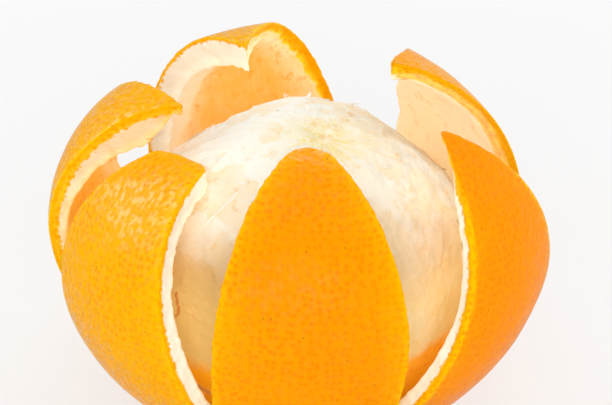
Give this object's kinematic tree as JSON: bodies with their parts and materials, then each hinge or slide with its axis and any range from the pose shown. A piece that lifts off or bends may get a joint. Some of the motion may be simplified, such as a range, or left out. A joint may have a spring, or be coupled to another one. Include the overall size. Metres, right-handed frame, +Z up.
{
  "type": "partly peeled orange",
  "caption": "Whole orange in its white pith, standing in an uncut cup of rind whose upper part is cut into petals that fold outwards.",
  "frame": {"origin": "centre of the flat spot under the rind cup, which the orange rests on", "axes": "+Z up, -Y towards the narrow front petal, +X to the right seen from the front"},
  "size_m": [0.1016, 0.1011, 0.0805],
  "materials": {
    "rind": "waxy pebbled orange skin outside, cream pith inside and at the cuts",
    "pith": "matte cream pith with fine fibres"
  },
  "bodies": {
    "root": {"peel": "rind", "fruit": "pith"}
  },
  "joints": []
}
